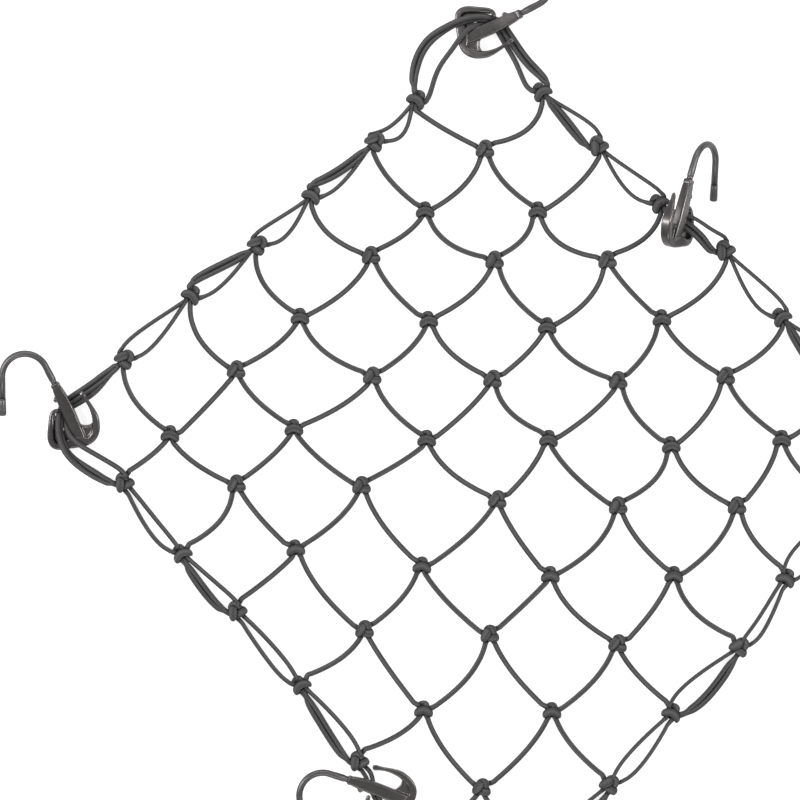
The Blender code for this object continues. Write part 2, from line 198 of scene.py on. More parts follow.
# How a cord bows between two knots: most just below the upper one, or just above the lower one.
earlyBow = ((0.30, 1.55), (0.68, 1.05))
lateBow = ((0.33, 0.6), (0.72, 2.0))

# A knot about its middle in mm: right, up, out of the face that is up and the cord's width there
# against its plain width. The bight runs from the left leg over the top to the right leg, and the
# collar from the left arm round the bight's neck to the right arm. Every other row of knots is tied
# from the other face: one row shows the collar's band, and the next where the cords cross.
knotShapes = {
    "crossing": {
        "bight": [
            (-2.7, -5.6, -0.3, 1.0), (-1.7, -3.6, -0.8, 1.0), (-2.0, -1.2, -1.1, 1.1),
            (-2.2, 1.5, -0.6, 1.2), (-1.5, 3.1, 0.4, 1.25), (0.5, 3.9, 1.2, 1.3),
            (2.3, 2.9, 1.7, 1.35), (2.6, 0.9, 1.3, 1.3), (2.1, -1.4, 0.0, 1.1),
            (1.6, -3.6, -0.6, 1.0), (2.7, -5.6, -0.3, 1.0),
        ],
        "collar": [
            (-6.2, 2.6, -0.6, 1.0), (-4.3, 1.2, -0.5, 1.1), (-2.8, -0.6, 0.2, 1.2),
            (-1.0, -2.3, 1.6, 1.35), (1.2, -2.5, 2.6, 1.45), (3.2, -2.6, 2.1, 1.4),
            (4.3, -2.5, -0.1, 1.35), (3.3, -1.5, -2.3, 1.4), (1.2, -0.6, -3.0, 1.45),
            (-1.2, -0.6, -3.0, 1.45), (-3.3, -1.5, -2.3, 1.4), (-4.2, -2.3, 0.1, 1.45),
            (-3.3, -1.9, 2.2, 1.6), (-2.1, -0.1, 3.0, 1.75), (-0.8, 1.6, 2.2, 1.6),
            (0.7, 2.8, 0.2, 1.2), (3.6, 2.8, -1.5, 1.05), (6.2, 3.9, -0.8, 1.0),
        ],
    },
    "band": {
        "bight": [
            (-2.7, -5.6, -0.3, 1.0), (-1.7, -3.6, 0.0, 1.0), (-2.2, -0.8, -0.9, 1.1),
            (-2.6, 1.2, -1.4, 1.15), (-2.1, 2.8, -0.8, 1.2), (-0.4, 3.4, 0.3, 1.3),
            (1.0, 2.9, 1.0, 1.35), (1.5, 0.8, 1.1, 1.3), (1.7, -1.4, 0.6, 1.1),
            (1.6, -3.6, 0.2, 1.0), (2.7, -5.6, -0.3, 1.0),
        ],
        "collar": [
            (-6.2, 3.9, 0.6, 1.0), (-4.0, 2.7, 0.9, 1.05), (-2.4, 1.7, 0.0, 1.15),
            (-0.6, 0.6, -1.8, 1.4), (1.6, -0.4, -2.9, 1.5), (3.4, -1.8, -2.2, 1.45),
            (4.3, -2.4, 0.0, 1.4), (3.4, -1.6, 2.2, 1.45), (1.2, -0.5, 2.9, 1.5),
            (-1.2, -0.5, 2.9, 1.5), (-3.4, -1.6, 2.2, 1.45), (-4.3, -2.5, 0.0, 1.4),
            (-3.2, -2.6, -2.1, 1.35), (-1.2, -2.4, -2.6, 1.35), (1.0, -1.8, -1.6, 1.3),
            (2.8, 0.0, -0.4, 1.2), (4.4, 1.0, 0.2, 1.1), (6.2, 2.2, 0.4, 1.0),
        ],
    },
}
knotSizes = {
    "size": (1.1, 1.04),       # a knot's width and height against these points
    "edgeSize": (1.18, 1.14),
    "depth": 0.9,              # and its thickness
    "spread": 1.5,             # how much of its thickness a wide stretch loses, as a power
    "sideways": 0.45,          # how far the pressing of a cord leans out to the knot's sides
    "twist": 7,                # most that a knot lies turned, degrees
    "edgeTurns": {"top_left": -35, "top_right": 35, "bottom_left": 30, "bottom_right": -30},
}


def knotKind(row, place):
    return "band" if (place - row) % 2 == 0 else "crossing"


def knotPlace(row, place):
    right, up = knotRows[row][place]
    return Vector((right, up, liftedKnots.get((row, place), net["knotHeight"])))


def knotTurn(row, place):
    draw = random.Random(net["seed"] + 31 * row + place)       # each knot has its own
    lean = draw.uniform(-1, 1) * knotSizes["twist"]
    edges = {"top_left": row == 0, "top_right": place == lastKnot,
             "bottom_left": place == 0, "bottom_right": row == lastKnot}
    for side, isThere in edges.items():
        if isThere:
            return knotSizes["edgeTurns"][side] + lean / 2
    return lean


# A path is a list of (point, width, flattening): the last is a vector along which the cord is
# pressed flat, as long as the part of its thickness that it loses.
def knotPath(part, row, place):
    spin = Matrix.Rotation(math.radians(knotTurn(row, place)), 3, "Z")
    isAtEdge = {row, place} & {0, lastKnot}
    wide, high = knotSizes["edgeSize" if isAtEdge else "size"]
    path = []
    for x, y, z, width in knotShapes[knotKind(row, place)][part]:
        outward = spin @ Vector((x * knotSizes["sideways"], 0, z)).normalized()
        spot = knotPlace(row, place) + spin @ Vector((x * wide, y * high, z * knotSizes["depth"]))
        path.append((spot, width, outward * (1 - width ** -knotSizes["spread"])))
    return path


def plain(points, width=1.0):
    return [(Vector(point), width, Vector((0, 0, 0))) for point in points]


def run(start, end, bow, pulls, sink=cordSizes["sink"]):
    chord = end - start
    across = Vector((chord.y, -chord.x, 0)).normalized()
    if across.y > 0:
        across.negate()
    first, second = [start + chord * part + across * bow * pull for part, pull in pulls]
    points = []
    for t in runPlaces:
        u = 1 - t
        point = start * u ** 3 + first * 3 * u * u * t + second * 3 * u * t * t + end * t ** 3
        point.z -= sink * 4 * t * u
        points.append(point)
    return plain(points)


def cordTree():
    tree = bpy.data.node_groups.new("cordAlongPath", "GeometryNodeTree")
    for name, kind in (("Path", "NodeSocketGeometry"), ("Radius", "NodeSocketFloat"),
                       ("Sides", "NodeSocketInt"), ("Steps", "NodeSocketInt"),
                       ("Material", "NodeSocketMaterial")):
        tree.interface.new_socket(name, in_out="INPUT", socket_type=kind)
    tree.interface.new_socket("Cord", in_out="OUTPUT", socket_type="NodeSocketGeometry")

    def add(kind, inputs=None, **settings):
        made = tree.nodes.new(kind if kind.startswith("Shader") else f"GeometryNode{kind}")
        for name, value in settings.items():
            setattr(made, name, value)
        for key, value in (inputs or {}).items():
            if isinstance(value, bpy.types.NodeSocket):
                tree.links.new(value, made.inputs[key])
            elif isinstance(value, bpy.types.Node):
                tree.links.new(value.outputs[0], made.inputs[key])
            else:
                made.inputs[key].default_value = value
        return made

    def store(geometry, name, value, kind):
        return add("StoreNamedAttribute", {"Geometry": geometry, "Name": name, "Value": value},
                   data_type=kind, domain="POINT")

    def read(name, kind):
        return add("InputNamedAttribute", {"Name": name}, data_type=kind)

    given = tree.nodes.new("NodeGroupInput").outputs
    curve = add("MeshToCurve", {"Mesh": given["Path"]})
    curve = add("CurveSplineType", {"Curve": curve}, spline_type="CATMULL_ROM")
    curve = add("SetSplineResolution", {"Geometry": curve, "Resolution": given["Steps"]})
    curve = add("ResampleCurve", {"Curve": curve}, mode="EVALUATED")
    curve = store(curve, "spine", add("InputPosition"), "FLOAT_VECTOR")
    curve = store(curve, "along", add("SplineParameter").outputs["Length"], "FLOAT")
    width = add("ShaderNodeMath", {0: read("width", "FLOAT"), 1: given["Radius"]},
                operation="MULTIPLY")
    ring = add("CurvePrimitiveCircle", {"Resolution": given["Sides"], "Radius": 1.0})
    ring = store(ring, "around", add("InputPosition"), "FLOAT_VECTOR")
    tube = add("CurveToMesh", {"Curve": curve, "Profile Curve": ring, "Scale": width,
                               "Fill Caps": True})
    # Press the tube flat along its "flat" vector.
    flat = read("flat", "FLOAT_VECTOR")
    offset = add("ShaderNodeVectorMath", {0: add("InputPosition"), 1: read("spine", "FLOAT_VECTOR")},
                 operation="SUBTRACT")
    reach = add("ShaderNodeVectorMath", {0: offset, 1: flat}, operation="DOT_PRODUCT").outputs["Value"]
    size = add("ShaderNodeVectorMath", {0: flat}, operation="LENGTH").outputs["Value"]
    size = add("ShaderNodeMath", {0: size, 1: 1e-5}, operation="MAXIMUM")
    part = add("ShaderNodeMath", {0: reach, 1: size}, operation="DIVIDE")
    part = add("ShaderNodeMath", {0: part, 1: -1.0}, operation="MULTIPLY")
    pressed = add("ShaderNodeVectorMath", {0: flat, "Scale": part.outputs[0]}, operation="SCALE")
    tube = add("SetPosition", {"Geometry": tube, "Offset": pressed})
    for name in ("spine", "flat", "width"):
        tube = add("RemoveAttribute", {"Geometry": tube, "Name": name})
    tube = add("SetShadeSmooth", {"Geometry": tube, "Shade Smooth": True})
    tube = add("RealizeInstances", {"Geometry": tube})
    tube = add("SetMaterial", {"Geometry": tube, "Material": given["Material"]})
    out = tree.nodes.new("NodeGroupOutput")
    tree.links.new(tube.outputs[0], out.inputs["Cord"])
    return tree


cordNodes = cordTree()
cordPieces = []


def inputsOf(tree, values):
    found = {item.name: item.identifier for item in tree.interface.items_tree
             if item.in_out == "INPUT"}
    return {found[name]: value for name, value in values.items()}


def finished(piece):
    # The piece's mesh as its modifiers leave it. They are removed.
    bpy.context.view_layer.update()
    made = bpy.data.meshes.new_from_object(
        piece.evaluated_get(bpy.context.evaluated_depsgraph_get()))
    piece.modifiers.clear()
    return made


def cordPiece(name, paths, nodes):
    points, links, widths, flats = [], [], [], []
    for path in paths:
        first = len(points)
        for spot, width, flat in path:
            points.append(netMatrix @ spot)
            widths.append(width)
            flats.append(netMatrix.to_3x3().normalized() @ flat)
        links += [(index, index + 1) for index in range(first, len(points) - 1)]
    mesh = bpy.data.meshes.new(name)
    mesh.from_pydata(points, links, [])
    mesh.attributes.new("width", "FLOAT", "POINT").data.foreach_set("value", widths)
    mesh.attributes.new("flat", "FLOAT_VECTOR", "POINT").data.foreach_set(
        "vector", [value for flat in flats for value in flat])
    piece = bpy.data.objects.new(name, mesh)
    bpy.context.scene.collection.objects.link(piece)
    modifier = piece.modifiers.new("cord", "NODES")
    modifier.node_group = cordNodes
    for identifier, value in inputsOf(cordNodes, {
            "Radius": cordSizes["radius"] * mm, "Sides": cordSizes["sides"],
            "Steps": cordSizes["steps"], "Material": cord}).items():
        modifier[identifier] = value
    piece.data = finished(piece)
    piece.data.name = name
    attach(piece, "root")
    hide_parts(*nodes)
    cordPieces.append(piece)


# Bow of each mesh cord below its chord in mm, a row for each line of knots that falls to the left or
# to the right, from its upper end to its lower.
leftBows = [
    [7.0, 4.0, 2.0, 3.5, 2.5, 0.5, 1.0],
    [3.0, 3.5, 3.5, 2.5, 2.5, 1.5, 5.5],
    [5.0, 5.0, 1.5, 1.5, 1.0, 3.0, 1.0],
    [5.0, 3.0, 2.0, 2.0, 2.5, 3.0, 3.5],
    [3.5, 3.5, 5.0, 5.0, 0.5, 5.0, 3.0],
    [3.0, 2.5, 4.0, 2.0, 3.5, 3.0, 3.0],
]
rightBows = [
    [5.0, 2.5, 1.5, 3.5, 1.0, 3.0, 3.0],
    [6.0, 2.5, 2.0, 3.0, 2.0, 2.5, 3.0],
    [5.5, 5.0, 3.0, 4.0, 1.5, 4.0, 2.0],
    [5.5, 2.5, 4.0, 4.5, 2.5, 2.5, 5.5],
    [3.0, 5.5, 3.5, 4.5, 3.5, 4.0, 3.5],
    [1.0, 3.0, 6.0, 1.0, 2.5, 2.5, 3.5],
]


# The twines of the mesh. Each zigzags across the net, as bights in its upper line of knots and as
# collars in its lower one, and it ends in the knots of the edge.
def twineStops(level):
    row, place, upper = (0, level, True) if level > 0 else (1 - level, 0, False)
    stops = [(row, place, upper)]
    while row < lastKnot and place < lastKnot:
        row, place, upper = (row + 1, place, False) if upper else (row, place + 1, True)
        stops.append((row, place, upper))
    return stops


def twinePath(stops):
    path = []
    for index, (row, place, upper) in enumerate(stops):
        knot = knotPath("bight" if upper else "collar", row, place)
        if index == 0:
            knot = knot[1:]
        elif index == len(stops) - 1:
            knot = knot[:-1]
        if path:
            wasRow, wasPlace, wasUpper = stops[index - 1]
            if wasUpper:       # the cord falls to the right, along the line of its place
                bow = rightBows[place - 1][wasRow]
                way = run(path[-1][0], knot[0][0], bow, earlyBow)
            else:              # it rises to the right, along its row
                bow = leftBows[row - 1][lastKnot - place]
                way = run(knot[0][0], path[-1][0], bow, earlyBow)[::-1]
            path += way
        path += knot
    return path


def twineNodes(stops):
    rows = {row for row, place, upper in stops} - {0, lastKnot}
    places = {place for row, place, upper in stops} - {0, lastKnot}
    return ([f"mesh_cord_left_{row}" for row in sorted(rows)]
            + [f"mesh_cord_right_{place}" for place in sorted(places)])


for number, level in enumerate(range(lastKnot - 1, 1 - lastKnot, -1), start=1):
    stops = twineStops(level)
    cordPiece(f"twine_{number}", [twinePath(stops)], twineNodes(stops))
print("twines made")

# Where the foot of each clip's shank is, and the clip's turn about its own y, pitch and roll.
hooks = {
    "left": dict(foot=(-252.2, 1.9, 4.8), turn=0, pitch=8, roll=0),
    "top": dict(foot=(-8.0, 253.0, 4.8), turn=0, pitch=8, roll=-90),
    "right": dict(foot=(252.0, 2.0, 4.8), turn=0, pitch=8, roll=180),
    "bottom": dict(foot=(7.0, -283.0, 4.8), turn=0, pitch=8, roll=90),
    "top_right": dict(foot=(120.1, 127.5, 41.1), turn=-122.3, pitch=17, roll=-2),
    "bottom_left": dict(foot=(-46.5, -227.0, 4.8), turn=0, pitch=8, roll=45),
}


def hookMatrix(foot, turn, pitch, roll):
    return (Matrix.Translation(Vector(foot)) @ Matrix.Rotation(math.radians(roll), 4, "Z")
            @ Matrix.Rotation(math.radians(pitch), 4, "X")
            @ Matrix.Rotation(math.radians(turn), 4, "Y"))


hookMatrices = {name: hookMatrix(**pose) for name, pose in hooks.items()}


# The edge, each side from its upper corner to its lower one. A run has the bow and the number of
# cords of the way that meets the next knot at its top, and of the way that meets it at its side.
# Where a clip is on the run, the bow is that of the way from the clip on.
sides = {
    "top_left": {
        "slope": -1, "half": "upper",
        "ends": (("top", "overCrown"), ("left", "behindShank")),
        "single": 0.8,                         # width of a cord that runs alone
        "hookBows": ((-7.4, -4.0), (-0.3, -1.4)),
        "runs": [
            dict(top=(5.6, 1), side=(6.4, 1)),
            dict(top=(4.6, 2), side=(3.0, 1)),
            dict(top=(0.4, 1), side=(4.4, 1)),
            dict(top=(0.2, 2), side=(3.0, 1)),
            dict(top=(-1.6, 1), side=(2.6, 1)),
        ],
    },
    "top_right": {
        "slope": 1, "half": "upper",
        "ends": (("top", "behindShank"), ("right", "overCrown")),
        "single": 0.77,
        "hookBows": ((1.0, 0.0), (1.0, 0.0)),
        "runs": [
            dict(top=(-1.6, 1), side=(-0.8, 2)),
            dict(top=(0.4, 1), side=(4.6, 1)),
            dict(clip="throughLeaning", top=(1.0, 1), side=(1.4, 2)),
            dict(top=(-0.6, 1), side=(3.8, 1)),
            dict(top=(-2.6, 1), side=(2.6, 2)),
        ],
    },
    "bottom_left": {
        "slope": 1, "half": "lower",
        "ends": (("left", "overCrown"), ("bottom", "behindShank")),
        "single": 0.87,
        "hookBows": ((0.6, 0.0), (2.0, 0.0)),
        "runs": [
            dict(top=(1.0, 1), side=(3.2, 1)),
            dict(top=(0.8, 1), side=(1.4, 2)),
            dict(top=(-1.4, 1), side=(1.2, 1)),
            dict(top=(-2.0, 1), side=(0.2, 2)),
            dict(clip="throughFlat", top=(0.0, 1), side=(0.0, 1)),
        ],
    },
    "bottom_right": {
        "slope": -1, "half": "lower",
        "ends": (("right", "behindShank"), ("bottom", "overCrown")),
        "single": 0.78,
        "hookBows": ((1.0, 0.0), (1.0, 0.0)),
        "runs": [
            dict(top=(-4.0, 1), side=(3.0, 1)),
            dict(top=(2.0, 1), side=(2.2, 1)),
            dict(top=(-2.6, 1), side=(4.0, 2)),
            dict(top=(-2.0, 1), side=(3.0, 1)),
            dict(top=(-2.0, 1), side=(3.0, 2)),
        ],
    },
}
sidePlaces = {
    "top_left": [(0, place) for place in range(lastKnot, -1, -1)],
    "top_right": [(row, lastKnot) for row in range(lastKnot + 1)],
    "bottom_left": [(row, 0) for row in range(lastKnot + 1)],
    "bottom_right": [(lastKnot, place) for place in range(lastKnot, -1, -1)],
}
# Ways of the edge cords through a clip, in the clip's coordinates.
clipWays = {
    "behindShank": {
        "outer": [(6.8, 33.9, -6.6), (-3.2, 27.4, -6.0), (-9.4, 23.4, -5.4), (-13.2, 20.6, -5.2)],
        "inner": [(9.5, 29.7, -6.6), (-0.5, 23.2, -6.0), (-6.7, 19.2, -5.4), (-11.6, 17.2, -5.2)],
    },
    "overCrown": {
        "outer": [(-13.2, 20.6, -5.2), (-15.6, 17.0, -4.9), (-16.9, 12.6, -2.8), (-17.0, 7.6, 2.2),
                  (-16.5, 2.4, 5.6), (-15.2, -2.8, 7.2), (-13.2, -7.6, 6.8), (-10.2, -12.6, 4.6)],
        "inner": [(-11.6, 17.2, -5.2), (-13.2, 13.2, -5.0), (-13.5, 9.2, -3.4), (-13.1, 5.6, 1.2),
                  (-11.4, 2.0, 4.8), (-8.4, -0.8, 5.9), (-4.7, -3.7, 6.0), (-1.0, -6.2, 5.2),
                  (3.8, -9.0, 3.2)],
    },
    "throughLeaning": {
        "top": [(-14.6, 14.2, 10.0), (-16.4, 13.4, 4.5), (-16.8, 12.0, -4.5), (-18.6, 10.4, -8.0),
                (-23.5, 5.4, -11.5)],
        "side": [(-15.4, 9.2, 11.0), (-16.8, 8.2, 4.5), (-17.0, 4.6, -4.5), (-19.0, -0.2, -8.0),
                 (-23.5, -3.6, -11.5)],
    },
    "throughFlat": {
        "top": [(-3.6, 25.4, -5.4), (-11.4, 20.4, -5.2), (-14.4, 14.6, -4.4), (-15.2, 10.8, -1.6),
                (-15.2, 6.5, 2.4), (-13.8, 1.5, 5.3), (-12.2, -4.0, 5.9), (-10.5, -9.0, 5.0)],
        "side": [(-7.5, 28.0, -5.4), (-13.0, 21.6, -5.2), (-16.2, 15.0, -4.4), (-17.3, 11.0, -1.8),
                 (-17.4, 6.5, 2.2), (-17.2, 2.0, 5.2), (-16.8, -3.0, 5.9), (-15.6, -8.0, 5.4),
                 (-14.5, -12.0, 3.2)],
    },
}
# On an upper side a cord comes in at a knot's top, goes round it as its collar and back from its
# side. On a lower side it does so as the bight. The other ends run in under the band.
cordEnds = {
    "shrink": (0.85, 0.97, 1.0),               # widths, from inside the knot out
    "leaving": [(0.8, -0.7, -0.6), (2.8, -2.6, -0.4), (5.0, -4.8, -0.2)],
    "arriving": {
        "band": [(-1.0, 1.4, 0.0), (-2.2, 3.8, 1.8), (-2.8, 6.2, 1.0)],
        "crossing": [(0.6, 1.4, 0.0), (1.6, 3.8, 1.8), (2.0, 6.2, 1.0)],
    },
    # How far the cords that leave a knot lie from the knot's own ways, right and up for a side
    # that falls to the right, and the share of it at each point.
    "aside": {("upper", "side"): (-2.4, -0.6), ("lower", "side"): (2.2, 0.0),
              ("lower", "top"): (-0.8, 0.0)},
    "asideShares": (0.0, 0.5, 1.0),
    "cornerRounds": 4,                         # of smoothing, where a way meets a knot
    "wayRounds": 3,                            # and all along the way
}
pairSizes = {
    "gap": 3.2,                                # middle to middle of two cords side by side
    "inKnot": 0.35,                            # of the gap
    "atKnot": 0.55,
    "reach": 12,                               # mm from the knot to the full gap
    "tilt": 62,                                # of a pair over a clip's crown, degrees
    "tiltOver": 18,                            # points of its way
    "tiltPower": 0.7,                          # under 1 tilts it sooner
}


def cordEnd(side, knot, kind, leaving):
    # The way of a cord out of a knot, from inside it.
    slope, upper = side["slope"], side["half"] == "upper"
    if kind == "top" and leaving == upper:     # beside the knot's own cords
        steps = cordEnds["leaving"] if leaving else cordEnds["arriving"][knotKind(*knot)]
        mirror = slope if leaving else 1
        path = plain([knotPlace(*knot) + Vector((x * mirror, y, z)) for x, y, z in steps])
    else:
        path = knotPath("bight" if leaving else "collar", *knot)
        isRight = (slope > 0) == (kind == "top" or (leaving and upper))
        path = path[-3:] if isRight else path[2::-1]
        if leaving and (side["half"], kind) in cordEnds["aside"]:
            right, up = cordEnds["aside"][side["half"], kind]
            path = [(spot + Vector((right * slope, up, 0)) * share, width, flat)
                    for (spot, width, flat), share in zip(path, cordEnds["asideShares"])]
    return [(spot, width * shrink, flat)
            for (spot, width, flat), shrink in zip(path, cordEnds["shrink"])]


def shifted(path, offsets, tilts):
    moved = []
    for index, (spot, width, flat) in enumerate(path):
        ahead = path[min(index + 1, len(path) - 1)][0] - path[max(index - 1, 0)][0]
        across = Vector((ahead.y, -ahead.x, 0)).normalized()
        tilt = math.radians(tilts[index])
        aside = across * math.cos(tilt) + Vector((0, 0, math.sin(tilt)))
        moved.append((spot + aside * offsets[index], width, flat))
    return moved


def beside(start, way, end, sign, tilts):
    # The same way for one of two cords that lie side by side, or tilted on each other.
    half = pairSizes["gap"] / 2 * sign
    reach, atKnot = pairSizes["reach"], pairSizes["atKnot"]
    offsets = []
    for spot, width, flat in way:
        near = min([reach] + [(spot - knot).length for knot, _, _ in start[-1:] + end[:1]])
        offsets.append(half * (atKnot + (1 - atKnot) * near / reach))
    inner = half * pairSizes["inKnot"]
    return shifted(start + way + end, [inner] * len(start) + offsets + [inner] * len(end),
                   [0] * len(start) + tilts + [0] * len(end))


def eased(points):
    # A way through a hook in even steps and with its corners rounded.
    even, left = [points[0]], cordSizes["hookStep"]
    for first, second in zip(points, points[1:]):
        length, done = (second - first).length, 0
        while length - done > left:
            done += left
            even.append(first.lerp(second, done / length))
            left = cordSizes["hookStep"]
        left -= length - done
    even[-1] = points[-1]
    for turn in range(cordSizes["hookRounds"]):
        even = [even[0]] + [(before + middle * 2 + after) / 4
                            for before, middle, after in zip(even, even[1:], even[2:])] + [even[-1]]
    return even


def pairTilts(count):
    # From the hook on: side by side behind the shank, on each other over the crown, then apart again.
    tilts = [0] * count
    for index in range(min(count, pairSizes["tiltOver"])):
        share = math.sin(math.pi * index / pairSizes["tiltOver"]) ** pairSizes["tiltPower"]
        tilts[index] = pairSizes["tilt"] * share
    return tilts


def spots(path):
    return [spot for spot, width, flat in path]


def softened(start, way, end):
    # The same three paths, with the corners rounded where they meet, and then all the way.
    path, first, last = start + way + end, len(start), len(start) + len(way)
    corners = [index for index in (first - 1, first, last - 1, last) if 0 < index < len(path) - 1]
    inner = range(max(first - 1, 1), min(last + 1, len(path) - 1))
    for places in [corners] * cordEnds["cornerRounds"] + [inner] * cordEnds["wayRounds"]:
        old = spots(path)
        for index in places:
            spot, width, flat = path[index]
            path[index] = ((old[index - 1] + spot * 2 + old[index + 1]) / 4, width, flat)
    return path[:first], path[first:last], path[last:]


def endWays(hook, name, leavesHook):
    # The ways through a corner's clip, turned the way the side runs.
    ways = {layer: [hookMatrices[hook] @ Vector(point) for point in way]
            for layer, way in clipWays[name].items()}
    if leavesHook == (name == "behindShank"):
        ways = {layer: way[::-1] for layer, way in ways.items()}
    return ways


def edgeWay(name, index, kind):
    # One cord's way along a run, as (start, way, end), and how many cords follow it.
    side, knots = sides[name], sidePlaces[name]
    isFirst, isLast = index == 0, index == lastKnot - 1
    isOuter = (kind == "top") == (side["half"] == "upper")
    layer, count = ("outer", 2) if isOuter else ("inner", 1)
    start = [] if isFirst else cordEnd(side, knots[index], kind, True)
    end = [] if isLast else cordEnd(side, knots[index + 1], kind, False)[::-1]
    if isFirst:
        hookWay = endWays(*side["ends"][0], True)[layer]
        way = run(hookWay[-1], end[0][0], side["hookBows"][0][not isOuter], earlyBow,
                  cordSizes["hookSink"])
        way = plain(eased(hookWay + spots(way[1:])))
    elif isLast:
        hookWay = endWays(*side["ends"][1], False)[layer]
        way = run(start[-1][0], hookWay[0], side["hookBows"][1][not isOuter], lateBow,
                  cordSizes["hookSink"])
        way = plain(eased(spots(way[:-1]) + hookWay))
    else:
        stretch = side["runs"][index - 1]
        bow, count = stretch[kind]
        if "clip" in stretch:
            through = [hookMatrices[name] @ Vector(point) for point in clipWays[stretch["clip"]][kind]]
            before = run(start[-1][0], through[0], 0, lateBow, 0)
            after = run(through[-1], end[0][0], bow, lateBow, cordSizes["hookSink"])
            way = plain(eased(spots(before[:-1]) + through + spots(after[1:])))
        else:
            way = run(start[-1][0], end[0][0], bow, lateBow)
    parts = softened(start, way, end)
    if count == 1 and not isFirst and not isLast:      # a single cord is stretched thinner
        parts = [[(spot, width * side["single"], flat) for spot, width, flat in path]
                 for path in parts]
    return parts, count


def edgePaths(name):
    side, knots = sides[name], sidePlaces[name]
    upper = side["half"] == "upper"
    paths = []
    for index in range(lastKnot):
        isFirst, isLast = index == 0, index == lastKnot - 1
        ways = []
        for kind in ("top", "side"):
            (start, way, end), count = edgeWay(name, index, kind)
            if count == 2:
                tilts = [0] * len(way)
                if isFirst and side["ends"][0][1] == "overCrown":
                    tilts = pairTilts(len(way))
                elif isLast and side["ends"][1][1] == "overCrown":
                    tilts = pairTilts(len(way))[::-1]
                paths.append(beside(start, way, end, -1, tilts))
                way = beside(start, way, end, 1, tilts)[len(start):len(start) + len(way)]
            ways.append((start, way, end))
        (start, way, end), (sideStart, sideWay, sideEnd) = ways
        if upper and not isLast:       # round the lower knot's neck
            collar = knotPath("collar", *knots[index + 1])[1:-1]
            if side["slope"] > 0:
                collar.reverse()
            paths.append(start + way + end[:1] + collar + (sideStart + sideWay + sideEnd[:1])[::-1])
        elif not upper and not isFirst:
            bight = knotPath("bight", *knots[index])[1:-1]
            if side["slope"] > 0:
                bight.reverse()
            paths.append((start[-1:] + way + end)[::-1] + bight + sideStart[-1:] + sideWay + sideEnd)
        else:
            paths += [start + way + end, sideStart + sideWay + sideEnd]
    return paths


for name in sides:
    cordPiece(f"edge_{name}", edgePaths(name), [f"edge_cords_{name}"])
print("edge cords made")

# Where cords press against each other little light gets in: each point is marked with how much of its
# outlook is shut off close by, and the cord material paints that much shade into its colour.
creaseSizes = {
    "reach": 2.4,              # mm
    "rays": 12,
    "lift": 0.06,              # mm, start of a ray above the surface
    "near": 0.5,               # share of the shading that depends on how near the other cord is
}


def markCreaseShade(pieces):
    points, faces = [], []
    for piece in pieces:
        first = len(points)
        points += [vertex.co.copy() for vertex in piece.data.vertices]
        faces += [[first + index for index in face.vertices] for face in piece.data.polygons]
    tree = BVHTree.FromPolygons(points, faces)
    reach, rays, lift = creaseSizes["reach"] * mm, creaseSizes["rays"], creaseSizes["lift"] * mm
    outlooks = []
    for index in range(rays):      # evenly over a half ball, densest round its pole
        height = math.sqrt(1 - (index + 0.5) / rays)
        turn = index * math.pi * (3 - math.sqrt(5))
        flat = math.sqrt(1 - height * height)
        outlooks.append(Vector((math.cos(turn) * flat, math.sin(turn) * flat, height)))
    for piece in pieces:
        shut = []
        for vertex in piece.data.vertices:
            basis = vertex.normal.to_track_quat("Z", "Y")
            start = vertex.co + vertex.normal * lift
            total = 0
            for outlook in outlooks:
                hit = tree.ray_cast(start, basis @ outlook, reach)
                if hit[3] is not None:
                    total += 1 - creaseSizes["near"] * hit[3] / reach
            shut.append(total / rays)
        # This mask drives the painted shade in the cord's colour.
        piece.data.attributes.new("creaseShade", "FLOAT", "POINT").data.foreach_set("value", shut)


markCreaseShade(cordPieces)
print("creases marked")

